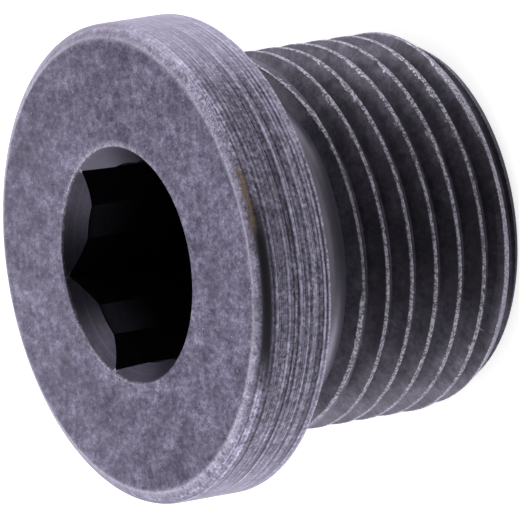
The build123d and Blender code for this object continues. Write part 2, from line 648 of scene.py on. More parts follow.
class Skin(Tree):
    """Blackened steel over one part of the plug, with its marks, as a material under construction.

    Its places are in millimetres, and its directions are angles round the axis in degrees, from +X
    towards +Y.
    """

    finish: SteelFinish

    def __init__(self, groups: ShadeGroups, sizes: PlugSizes, course: ReliefCourse) -> None:
        """Starts the material.

        Args:
            groups: The shared shader groups.
            sizes: The plug's sizes.
            course: How the relief's lower side wanders.
        """
        self.material = blank_material(self.finish.name)
        super().__init__(self.material.node_tree)
        self.groups = groups
        self.sizes = sizes
        self.course = course
        coordinates = self.node("ShaderNodeTexCoord").outputs["Object"]
        scaled = self.node("ShaderNodeMapping", Vector=coordinates, Scale=(1 / MM,) * 3)
        self.place = scaled.outputs["Vector"]
        self.x, self.y, self.z = self.parts(self.place)
        self.radius = (self.x * self.x + self.y * self.y).math("SQRT")

    @cached_property
    def across(self) -> Term:
        """Cosine of the angle round the axis: 1 towards +X and -1 towards -X."""
        return self.x / self.radius

    @cached_property
    def turn(self) -> Term:
        """Part of a full turn, from +X towards +Y."""
        return (self.y.math("ARCTAN2", self.x) / math.tau + 1.0).math("FRACT")

    def from_radius(self, radius: Value) -> Term:
        """Distance from a radius."""
        return (self.radius - radius).math("ABSOLUTE")

    def from_height(self, height: float) -> Term:
        """Distance from a height."""
        return (self.z - height).math("ABSOLUTE")

    def towards(self, degrees: float) -> Term:
        """Cosine of the angle round the axis to one direction."""
        angle = math.radians(degrees)
        return (self.x * math.cos(angle) + self.y * math.sin(angle)) / self.radius

    def group(self, tree: bpy.types.NodeTree, **inputs: object) -> bpy.types.Node:
        """Places a shared group and fills its inputs, with _ for a space."""
        return self.node("ShaderNodeGroup", {"node_tree": tree}, **{"Coordinates": self.place} | inputs)

    def mottle(self) -> bpy.types.Node:
        """The oxide's blotches, clouds and grain.

        Returns:
            The group's node, with the outputs Tone and Height.
        """
        finish = self.finish
        pulled_y = self.y * (finish.pull * finish.turn_pull)
        return self.group(
            self.groups.mottle,
            Coordinates=self.vector(self.x * finish.turn_pull, pulled_y, self.z),
            Blotches=finish.blotches,
            Clouds=finish.clouds,
            Grain=finish.grain,
            Grain_Scale=finish.grain_scale,
        )

    def lines(self) -> bpy.types.Node:
        """The turning lines, round the side or round the face."""
        across = self.z if self.finish.line_run is Line.ROUND_THE_SIDE else self.radius
        return self.group(self.groups.turning_lines, Across=across)

    def worn(self, distance: Term, width: float, breakup: float, sparkle: float = 0.5) -> Term:
        """Mask of a band near an edge: rubbed metal, and also the band of painted shade at the chamfer.

        Args:
            distance: Distance from the edge in millimetres.
            width: Width of the rubbed band in millimetres.
            breakup: How much the band's width varies, as a part of it.
            sparkle: How much of the band breaks up into bright beads.

        Returns:
            The mask.
        """
        edge = self.groups.edge_band
        node = self.group(edge, Distance=distance, Width=width, Breakup=breakup, Sparkle=sparkle)
        return self.term(node.outputs["Mask"])

    def mix(self, part: Term, first: object, second: object) -> bpy.types.NodeSocket:
        """Mixes two colours.

        Args:
            part: How much of the second colour is mixed in.
            first: A colour or its socket.
            second: A colour or its socket.

        Returns:
            The mixed colour.
        """
        node = self.node("ShaderNodeMix", {"data_type": "RGBA"})
        self.tree.links.new(part.socket, node.inputs[0])
        for slot, value in ((node.inputs[6], first), (node.inputs[7], second)):
            if isinstance(value, bpy.types.NodeSocket):
                self.tree.links.new(value, slot)
            else:
                slot.default_value = value
        return node.outputs[2]

    def steel(self, colour: bpy.types.NodeSocket, height: Term) -> None:
        """Ends the material in a metal shader.

        Args:
            colour: The base colour.
            height: The surface's fine height.
        """
        finish, matt = self.finish, self.matt()
        relief = self.node("ShaderNodeBump", Strength=1.0, Distance=finish.bump * MM, Height=height)
        shader = self.node(
            "ShaderNodeBsdfPrincipled",
            Base_Color=colour,
            Metallic=1.0,
            Roughness=finish.roughness,
            Specular_Tint=(0.9, 0.86, 1.0, 1.0),
            Coat_Weight=finish.oil,
            Coat_Roughness=0.4,
            Sheen_Weight=finish.dust,
            Sheen_Roughness=0.5,
            Sheen_Tint=(0.84, 0.78, 1.0, 1.0),
            Normal=relief.outputs["Normal"],
        )
        if matt is not None:
            self.fill(shader, "Metallic", 1.0 - matt)
        self.node("ShaderNodeOutputMaterial", Surface=shader.outputs["BSDF"])

    def wear_and_light(self) -> Term:
        """Mask of rubbed metal and of painted light."""
        raise NotImplementedError

    def stain_and_shade(self) -> Term | None:
        """Mask of darker oxide and of painted shade, where the part has one."""
        return None

    def tint(self) -> Term | None:
        """Mask of ochre oxide, where the part has one."""
        return None

    def matt(self) -> Term | None:
        """Mask of steel that scatters light, where the part has one."""
        return None

    def rim_wear(self) -> Term:
        """Thin rubbed line at the face's outer edge."""
        rim_radius = self.sizes.collar_radius - self.sizes.rim_chamfer_radial
        return self.worn(self.from_radius(rim_radius + 0.02), 0.24, 1.0, 0.5) * 0.75

    def dressed(self) -> bpy.types.Material:
        """Builds the material from its finish and its marks.

        Returns:
            The material.
        """
        finish = self.finish
        mottle, lines = self.mottle(), self.lines()
        tone = self.term(mottle.outputs["Tone"]) + self.term(lines.outputs["Tone"]) * finish.lines
        tone = (tone + finish.level).unit()
        colour = self.mix(tone * tone, finish.dark, finish.light)
        # Wear and painted light take the worn colour; stains and painted shade take the dark colour.
        for mask, paint in ((self.wear_and_light(), finish.worn), (self.stain_and_shade(), STAIN_AND_SHADE), (self.tint(), OCHRE)):
            if mask is not None:
                colour = self.mix(mask, colour, paint)
        height = self.term(mottle.outputs["Height"]) + self.term(lines.outputs["Height"]) * finish.lines
        self.steel(colour, height)
        return self.material


class RimSkin(Skin):
    """Steel beside the outer edge of the collar's chamfer, with the marks that run across it."""

    def edge_shade_band(self) -> Term:
        """Painted shade: a dark band where the chamfer meets the side, on the front part of the collar only.

        Returns:
            The mask.
        """
        sizes = self.sizes
        chamfer_z = sizes.height - sizes.rim_chamfer_axial
        off_edge = (sizes.collar_radius - self.radius - 0.2).most(chamfer_z - self.z - 0.22)
        # Painted shade along the chamfer's outer edge, kept to the front.
        band = self.worn(off_edge, 0.28, 0.4, 0.0)
        return band * self.towards(255.0).ramp(0.75, 0.95)

    def tint(self) -> Term:
        """Ochre oxide on the outer edge of the chamfer.

        Returns:
            The mask.
        """
        sizes = self.sizes
        outer = self.radius.ramp(sizes.collar_radius - 0.42, sizes.collar_radius - 0.3)
        inner = self.z.ramp(sizes.height - 0.46, sizes.height - 0.36)
        patchy = self.noise(self.place, 3.5, 2.0, 0.8).ramp(0.3, 0.6)
        return outer * inner * patchy * self.towards(280.5).ramp(0.987, 0.995) * 0.9


class FaceSkin(Skin):
    """The head face."""

    finish = SteelFinish(
        "Oxide head face",
        line_run=Line.ROUND_THE_FACE,
        dark=(0.06, 0.053, 0.082, 1.0),
        light=(0.47, 0.427, 0.604, 1.0),
        worn=(0.46, 0.43, 0.53, 1.0),
        roughness=0.48, blotches=0.38, clouds=0.6, grain=0.8, lines=0.06, bump=0.02, oil=0.0, pull=0.68,
    )

    def wear_and_light(self) -> Term:
        """Rubbed ring round the mouth, with a painted highlight that makes it strongest towards 12° and 140°,
        rubbed outer edge, bright specks, and painted light that pales the face towards +Y.

        Returns:
            The mask.
        """
        ring = self.worn(self.from_radius(self.sizes.mouth_radius), 0.32, 1.0, 0.8)
        # Painted highlight: the ring is brighter towards 12° and 140°.
        ring_highlight = self.towards(12.0).ramp(0.4, 0.95) * 1.1 + self.towards(140.0).ramp(0.6, 0.95) * 0.4
        specks = self.noise(self.place, 5.0, 1.0, 0.5).ramp(0.72, 0.77) * 0.8
        # Painted light: the face pales towards +Y.
        return (ring * ring_highlight).most(self.rim_wear(), specks, self.y.ramp(-4.0, 14.0) * 0.1)

    def stain_and_shade(self) -> Term:
        """Painted shade: the face slightly darker towards +X."""
        # Painted shade towards +X.
        return self.x.ramp(2.0, 11.0) * 0.12


class ChamferSkin(RimSkin):
    """The pitted chamfer."""

    finish = SteelFinish(
        "Pitted chamfer",
        line_run=Line.ROUND_THE_FACE,
        dark=(0.05, 0.045, 0.06, 1.0),
        light=(0.72, 0.66, 0.92, 1.0),
        worn=(0.5, 0.465, 0.58, 1.0),
        roughness=0.5, blotches=0.4, clouds=0.4, grain=1.15, lines=0.2, bump=0.04, oil=0.15, level=0.53,
        grain_scale=6.0, dust=0.5,
    )

    def wear_and_light(self) -> Term:
        """The rubbed rim, and painted light: a paler outer edge towards +X."""
        outer = self.radius.ramp(self.sizes.collar_radius - 0.5, self.sizes.collar_radius - 0.2)
        # Painted light: the outer edge paler towards +X.
        return self.rim_wear().most(outer * self.towards(0.0).ramp(0.6, 0.9) * 0.3)

    def stain_and_shade(self) -> Term:
        """The band of painted shade, pits all round, and painted shade on the inner half towards 340°.

        Returns:
            The mask.
        """
        pits = self.noise(self.place, 3.0, 2.0, 0.8).ramp(0.57, 0.65) * 0.62
        inner = self.radius.ramp(self.sizes.collar_radius - 0.2, self.sizes.collar_radius - 0.45)
        # Painted shade: the edge band and the darker inner half towards 340°; the pits are real.
        return self.edge_shade_band().most(pits, inner * self.towards(340.0).ramp(0.7, 0.95) * 0.3)


class SideSkin(RimSkin):
    """The collar's turned side."""

    finish = SteelFinish(
        "Turned collar side",
        line_run=Line.ROUND_THE_SIDE,
        dark=(0.014, 0.012, 0.02, 1.0),
        light=(0.55, 0.51, 0.7, 1.0),
        worn=(0.7, 0.65, 0.84, 1.0),
        roughness=0.45, blotches=0.2, clouds=0.36, grain=1.2, lines=1.22, bump=0.025, oil=0.1,
        grain_scale=5.5, turn_pull=0.8, dust=0.5,
    )

    def wear_and_light(self) -> Term:
        """Rubbed burr along the collar's back edge, and painted light: paler steel towards both sides of the
        collar, more towards +X.
        """
        burr = self.worn((self.z - self.sizes.collar_back_z).most(0.0), 0.2, 1.0, 0.85) * 0.7
        # Painted light: the side pales towards +X and -X.
        return burr.most(self.across.ramp(0.6, 0.85) * 0.24 + self.across.ramp(-0.8, -1.0) * 0.1)

    def stain_and_shade(self) -> Term:
        """The band of painted shade at the chamfer, and a dark line beside the back edge, on the front only.

        Returns:
            The mask.
        """
        line = self.worn(self.from_height(self.sizes.collar_back_z + 0.15) - 0.02, 0.1, 0.6, 0.3)
        # Painted shade: the chamfer band, on the front only.
        band = self.edge_shade_band() * self.towards(257.0).ramp(0.88, 0.98)
        return band.most(line * self.towards(264.0).ramp(0.88, 0.97))


class ReliefSkin(Skin):
    """The relief and the collar's underside, with a dull, paler part towards one side."""

    finish = SteelFinish(
        "Turned relief",
        line_run=Line.ROUND_THE_SIDE,
        dark=(0.08, 0.075, 0.094, 1.0),
        light=(0.4, 0.373, 0.462, 1.0),
        worn=(0.42, 0.40, 0.48, 1.0),
        roughness=0.44, blotches=0.14, clouds=0.08, grain=0.12, lines=0.1, bump=0.004, oil=0.1,
        dust=0.3,
    )

    def dull(self) -> Term:
        """Dull, pale part of the relief under the collar, towards one side."""
        upwards = self.z.ramp(self.sizes.collar_back_z - 2.8, self.sizes.collar_back_z - 1.2)
        return upwards * self.towards(ROUGH_DIRECTION).ramp(0.86, 0.97)

    def wear_and_light(self) -> Term:
        """The dull part is paler."""
        return self.dull() * 0.4

    def matt(self) -> Term:
        """The dull part scatters light."""
        return self.dull() * 0.8


class ThreadSkin(Skin):
    """The thread, the lead-in cone and the end face.

    Attributes:
        off_end_z: Height above which a point lies off the end face.
    """

    finish = SteelFinish(
        "Cut thread",
        line_run=Line.ROUND_THE_SIDE,
        dark=(0.029, 0.027, 0.032, 1.0),
        light=(0.242, 0.224, 0.288, 1.0),
        worn=(0.62, 0.585, 0.69, 1.0),
        roughness=0.45, blotches=0.5, clouds=0.45, grain=0.5, lines=0.0, bump=0.008, oil=0.05,
        dust=0.27,
    )
    off_end_z = 0.01

    def mark(self, degrees: float, height: float, long: float, wide: float) -> Term:
        """One short mark on the thread, long along the axis and wide round the turn, in millimetres.

        Args:
            degrees: Direction of the mark.
            height: Height of its centre.
            long: Half its length.
            wide: Half its width.

        Returns:
            The mask.
        """
        ahead = (self.towards(degrees - 90.0) * self.sizes.crest_radius).math("ABSOLUTE") / wide
        along = self.from_height(height) / long
        return ahead.most(along).ramp(1.0, 0.5) * self.towards(degrees).above(0.0)

    @cached_property
    def relief_edge(self) -> Term:
        """Height of the edge between the relief and the thread's crest."""
        return self.course.edge(self.turn) + self.sizes.relief_edge_z

    @cached_property
    def turned_radius(self) -> Term:
        """Radius of the surface that was turned before the thread was cut."""
        sizes = self.sizes
        edge = self.relief_edge
        flank_top = self.course.flank(self.turn) + sizes.relief_flank_top[1]
        relief_slope = (sizes.crest_radius - sizes.relief_flank_top[0]) / (flank_top - edge)
        relief = sizes.crest_radius - (self.z - edge) * relief_slope
        cone = self.z * ((sizes.crest_radius - sizes.end_face_radius) / sizes.lead_in_length)
        return relief.least(sizes.crest_radius, cone + sizes.end_face_radius)

    def flank_radius(self) -> Term:
        """Radius of the thread's flanks, up to its crest.

        Returns:
            The radius at the skin's height and angle.
        """
        sizes = self.sizes
        start = sizes.relief_edge_z - sizes.fade_start_below_relief
        along = (self.z - start) / sizes.pitch - self.turn
        off_groove = along.above(-1.0).choose(along + 1.0, along.off_whole()) * sizes.pitch
        vertex = sizes.crest_radius - (sizes.pitch - sizes.crest_flat) / 2 * FLANK_SLOPE
        return (off_groove * FLANK_SLOPE + vertex).least(sizes.crest_radius)

    def crest_wear_and_light(self) -> Term:
        """Rubbed crests and scuffed edges beside them, with painted light that makes them strongest on both
        sides of the plug (±X), weaker towards -X and dimmer on the first ridge at the front and back.

        Returns:
            The mask.
        """
        off_edge = self.from_radius(self.turned_radius).most(self.from_radius(self.flank_radius()))
        below_edge = self.relief_edge - self.z
        rubbed = self.across.ramp(0.6, 0.75) * -0.12 + 0.24
        under_relief = (below_edge - rubbed) * below_edge.below(0.8)
        scuffs = self.noise(self.place, 0.9, 3.0, 0.8).ramp(0.5, 0.66)
        scuffs = scuffs * self.towards(308.0).ramp(0.88, 0.98) * 0.14
        crests = self.worn(off_edge.most(under_relief) - scuffs - 0.02, 0.03, 1.0, 0.98)
        aside = self.across.math("ABSOLUTE")
        first_ridge = self.z.above(self.sizes.relief_edge_z - 0.9) * aside.ramp(0.45, 0.3)
        # Painted light: crests brighter towards ±X, the first ridge dimmer at the front and back.
        crests = crests * (aside.ramp(0.05, 0.95) * 0.4 + 0.45) * (1.0 - first_ridge * 0.45)
        # Painted shade: crests dimmer towards -X.
        return crests * (1.0 - self.across.ramp(-0.5, -0.9) * 0.25)

    def last_ridge_pale(self) -> Term:
        """Wider, paler crest where the thread runs out over the lead-in cone, widest towards 305°.

        Returns:
            The mask.
        """
        wide = self.towards(305.0).ramp(0.94, 0.99) * 0.15 + 0.02
        last = self.worn(self.from_radius(self.turned_radius) - wide, 0.05, 0.9, 0.8)
        return last * self.z.ramp(0.75, 0.95) * self.z.below(1.75) * 0.8

    def wear_and_light(self) -> Term:
        """Rubbed crests with their painted light, two short marks, painted light that pales the -X side, the
        paler last ridge and the dull flank, all above the end face.

        Returns:
            The mask.
        """
        marks = self.mark(226.1, 1.83, 0.3, 0.06).most(self.mark(223.8, 2.63, 0.14, 0.16))
        # Painted light: paler towards -X.
        pale = self.across.ramp(-0.86, -0.98) * 0.05
        dull_flank = self.matt() * 0.4
        wear_and_light = self.crest_wear_and_light().most(self.last_ridge_pale(), marks * 0.5, pale, dull_flank)
        return wear_and_light * self.z.above(self.off_end_z)

    def stain_and_shade(self) -> Term:
        """Painted shade deep in the thread's root, on the flanks that face the front and on the upper side
        towards 312°, and darker colour beside the end face.

        Returns:
            The mask.
        """
        sizes = self.sizes
        off_end = self.z.above(self.off_end_z)
        in_thread = self.radius.below(sizes.crest_radius - 0.05) * self.z.below(sizes.relief_edge_z - 0.1)
        # Painted shade on the flanks that face the front, towards 247°.
        flank = (self.radius.ramp(9.25, 9.8) * 0.5 + 0.18) * in_thread * self.z.above(1.55)
        flank = flank * self.towards(247.0).ramp(0.86, 0.98)
        # Painted shade in the thread's root.
        root_shade = self.radius.ramp(9.35, 9.1) * 0.35 * off_end
        # Painted shade towards 312°.
        shaded = self.radius.ramp(9.9, 9.05) * self.towards(312.0).ramp(0.9, 0.97) * self.z.above(1.5)
        shaded = shaded * self.z.ramp(sizes.relief_edge_z, sizes.relief_edge_z - 0.4) * 0.57
        # Darker towards the end face.
        end = self.z.ramp(0.6, 0.1) * off_end * 0.5
        return root_shade.most(flank, shaded, end)

    def matt(self) -> Term:
        """Dull part of the flank that climbs to the collar.

        Returns:
            The mask.
        """
        edge_z = self.sizes.relief_edge_z
        upwards = self.z.ramp(edge_z + 0.05, edge_z + 0.8) * self.radius.below(self.sizes.crest_radius - 0.08)
        return upwards * self.towards(ROUGH_DIRECTION).ramp(0.94, 0.985) * 0.6


class SocketSkin(Skin):
    """The countersink, the hexagon and the drilled bore."""

    finish = SteelFinish(
        "Broached socket",
        line_run=Line.ROUND_THE_SIDE,
        dark=(0.012, 0.011, 0.015, 1.0),
        light=(0.1, 0.091, 0.127, 1.0),
        worn=(0.26, 0.24, 0.31, 1.0),
        roughness=0.36, blotches=0.15, clouds=0.15, grain=0.18, lines=0.2, bump=0.006, oil=0.0,
    )

    def countersink(self) -> Term:
        """The cone between the mouth and the hexagon."""
        return self.z.above(self.sizes.height - 1.05) * self.radius.above(self.sizes.pilot_radius + 0.02)

    def wear_and_light(self) -> Term:
        """Rubbed edge just inside the mouth, small burrs where the hexagon's corners start, and a paler
        countersink towards 4°.

        Returns:
            The mask.
        """
        sizes = self.sizes
        edge = self.worn(sizes.height - self.z, 0.12, 0.9, 0.7)
        sixth = (self.turn * 6.0).math("FRACT")
        aside = (sixth - 0.5).math("ABSOLUTE") * (HALF_FLAT_ANGLE * 2 * sizes.hex_corner_radius)
        down = self.from_height(sizes.height - sizes.mouth_radius + sizes.hex_corner_radius)
        paler = self.towards(4.0).ramp(0.89, 0.92) * 0.18 * self.countersink()
        return edge.most(paler, self.worn(aside.most(down), 0.16, 1.0, 0.8))

    def stain_and_shade(self) -> Term:
        """The countersink darker towards 62°."""
        return self.towards(62.0).ramp(0.84, 0.9) * 0.3 * self.countersink()

    def matt(self) -> Term:
        """The strips of drilled bore that the broach left in the middle of each flat.

        Returns:
            The mask.
        """
        on_bore = self.from_radius(self.sizes.pilot_radius).below(0.004)
        depth = self.sizes.height - self.z
        return on_bore * depth.ramp(0.9, 1.3) * depth.ramp(4.5, 1.2) * (self.x.ramp(0.5, -0.5) * 0.3 + 0.25)


# ------------------------------------------------------------------------------
# Sections of the turned strips
# ------------------------------------------------------------------------------


@dataclass
class Section:
    """Points of a turned strip, as radius and height in millimetres."""

    points: list[Point] = field(default_factory=list)

    def to(self, radius: float, height: float, steps: int = 1) -> "Section":
        """Goes straight to a point in equal steps.

        Args:
            radius: The point's radius.
            height: The point's height.
            steps: Number of steps.

        Returns:
            This section.
        """
        if not self.points:
            self.points.append((radius, height))
            return self
        start_r, start_z = self.points[-1]
        for step in range(1, steps + 1):
            part = step / steps
            self.points.append((start_r + (radius - start_r) * part, start_z + (height - start_z) * part))
        return self

    def arc(self, centre: Point, radius: float, start: float, end: float, steps: int) -> "Section":
        """Follows an arc.

        Args:
            centre: The arc's centre.
            radius: The arc's radius.
            start: Angle of the first point in degrees, from the radius axis towards the height axis.
            end: Angle of the last point in degrees.
            steps: Number of steps.

        Returns:
            This section.
        """
        for step in range(steps + 1):
            angle = math.radians(start + (end - start) * step / steps)
            point = (centre[0] + radius * math.cos(angle), centre[1] + radius * math.sin(angle))
            if not self.points or math.dist(self.points[-1], point) > 1e-6:
                self.points.append(point)
        return self

    def rounded(self, corner: Point, towards: Point, reach: float, steps: int = 3) -> "Section":
        """Goes to a corner and rounds it with a small soft edge.

        Args:
            corner: The sharp corner.
            towards: A point on the line after the corner.
            reach: How far before and after the corner the edge starts and ends.
            steps: Number of steps round the corner.

        Returns:
            This section.
        """
        before = self._along(corner, self.points[-1], reach)
        after = self._along(corner, towards, reach)
        self.to(*before)
        for step in range(1, steps + 1):
            t = step / steps
            weights = ((1 - t) ** 2, 2 * t * (1 - t), t**2)
            spots = (before, corner, after)
            self.points.append(tuple(sum(w * s[axis] for w, s in zip(weights, spots)) for axis in (0, 1)))
        return self

    @staticmethod
    def _along(start: Point, end: Point, reach: float) -> Point:
        """The point that lies reach away from start towards end."""
        length = math.dist(start, end)
        return tuple(a + (b - a) * reach / length for a, b in zip(start, end))

    def guide(self, name: str) -> bpy.types.Object:
        """Makes a helper mesh that holds the section's points.

        Args:
            name: The helper's name.

        Returns:
            The helper, which is removed once the shell is made.
        """
        mesh = bpy.data.meshes.new(name)
        edges = [(index, index + 1) for index in range(len(self.points) - 1)]
        mesh.from_pydata([(radius, 0.0, height) for radius, height in self.points], edges, [])
        return placed(name, mesh)


# ------------------------------------------------------------------------------
# The plug's surfaces
# ------------------------------------------------------------------------------


@dataclass
class TurnedStrip:
    """A surface turned from a section: relief, collar side, chamfer or head face.

    Attributes:
        name: The surface's name.
        section: Its section.
        finish: Its material.
        mark_depth: Depth of the tool's marks in millimetres.
        wander: How much of the relief's wandering course its lower end follows.
        wander_end: Height where it follows no more.
        MARKS_ROUND: How far the marks are drawn out round the axis: less is longer.
        MARKS_ALONG: How close the marks lie along the section.
    """

    MARKS_ROUND = 0.25
    MARKS_ALONG = 4.0

    name: str
    section: Section
    finish: bpy.types.Material
    mark_depth: float
    wander: float = 0.0
    wander_end: float = 0.0

    def inputs(self) -> dict[str, object]:
        """The group's named inputs.

        Returns:
            The values by name.
        """
        return {
            "Section": self.section.guide(f"{self.name} section"),
            "Steps": float(len(self.section.points) - 1),
            "Mark Depth": self.mark_depth,
            "Wander": self.wander,
            "Wander End": self.wander_end,
        }

    @staticmethod
    def rule(course: ReliefCourse) -> bpy.types.NodeTree:
        """Builds the group that turns a section.

        Args:
            course: How the relief's lower side wanders.

        Returns:
            The group.
        """
        rule = RuleTree("Turned strip")
        guide = rule.socket("Section", "NodeSocketObject")
        columns, steps = rule.size("Columns"), rule.size("Steps")
        depth, wander, wander_end = rule.size("Mark Depth"), rule.size("Wander"), rule.size("Wander End")
        material = rule.socket("Material", "NodeSocketMaterial")
        sheet, column, row = rule.sheet(columns, steps)
        points = rule.node("GeometryNodeObjectInfo", Object=guide).outputs["Geometry"]

        def point(index: Value) -> tuple[Term, Term]:
            """Radius and height of one point of the section.

            Args:
                index: The point's number.

            Returns:
                The radius and the height.
            """
            here = rule.node("GeometryNodeInputPosition").outputs[0]
            settings = {"data_type": "FLOAT_VECTOR"}
            sampled = rule.node("GeometryNodeSampleIndex", settings, Geometry=points, Index=index, Value=here)
            radius, _, height = rule.parts(sampled.outputs[0])
            return radius, height

        radius, height = point(row)
        share = ((wander_end - height) / (wander_end - point(0)[1]).most(0.001)).unit()
        height = height + course.flank(column / columns) * wander * share
        surface = rule.turned(sheet, column / columns, radius, height)
        inner = row.above(0.5) * row.below(steps - 0.5)
        x, y, z = rule.parts(rule.node("GeometryNodeInputPosition").outputs[0])
        along = z * TurnedStrip.MARKS_ALONG + radius * TurnedStrip.MARKS_ALONG + SEED
        spot = rule.vector(x * TurnedStrip.MARKS_ROUND, y * TurnedStrip.MARKS_ROUND, along)
        marks = rule.noise(spot, 1.0, 2.0, 0.6)
        shift = rule.node(
            "ShaderNodeVectorMath",
            {"operation": "SCALE"},
            Vector=rule.node("GeometryNodeInputNormal").outputs[0],
            Scale=(marks - 0.5) * inner * depth,
        )
        marked = rule.node("GeometryNodeSetPosition", Geometry=surface, Offset=shift.outputs[0])
        return rule.finish(marked.outputs[0], material)


@dataclass
class ThreadedShank:
    """The thread, its fade into the relief, its lead-in cone and the end face."""

    name: str
    sizes: PlugSizes
    course: ReliefCourse
    finish: bpy.types.Material
    land_steps: int = 4
    flank_steps: int = 3
    root_steps: int = 4
    cap_steps: int = 2
    nick_depth: float = 0.03

    @property
    def block_steps(self) -> tuple[int, ...]:
        """Section steps of one turn: both halves of the land, upper flank, root and lower flank."""
        half_land = self.land_steps // 2
        return half_land, half_land, self.flank_steps, self.root_steps, self.flank_steps

    @property
    def turns(self) -> int:
        """Turns that reach from the relief past the end face."""
        return math.ceil(self.sizes.relief_edge_z / self.sizes.pitch) + 2

    def inputs(self) -> dict[str, object]:
        """The group's named inputs.

        Returns:
            The values by name.
        """
        sizes = self.sizes
        vertex_depth = (sizes.pitch - sizes.crest_flat) / 2 * FLANK_SLOPE
        return {
            "Crest Radius": sizes.crest_radius,
            "Thread Depth": sizes.thread_depth,
            "Pitch": sizes.pitch,
            "Root Round": vertex_depth - sizes.thread_depth,
            "Fade Height": sizes.relief_edge_z - sizes.fade_start_below_relief,
            "Fade Turn": sizes.fade_angle / 360,
            "Relief Edge": sizes.relief_edge_z,
            "Top Radius": sizes.relief_flank_top[0],
            "Top": sizes.relief_flank_top[1],
            "End Radius": sizes.end_face_radius,
            "Lead In": sizes.lead_in_length,
            "Nick Depth": self.nick_depth,
        }

    def rule(self) -> bpy.types.NodeTree:
        """Builds the group that makes the thread."""
        return ThreadRule(self).shape()


@dataclass(frozen=True)
class Groove:
    """One turn of the thread's groove, in the half plane that holds a column of the sheet.

    Attributes:
        centre: Height of its centre.
        share: Its depth, as a part of the full depth.
        present: 1 where it is cut at all, and 0 elsewhere.
        rounding: Radius of its root.
        half: Distance from its centre at which its flanks start.
        low: Radius at which its flanks start.
    """

    centre: Term
    share: Term
    present: Term
    rounding: Term
    half: Term
    low: Term


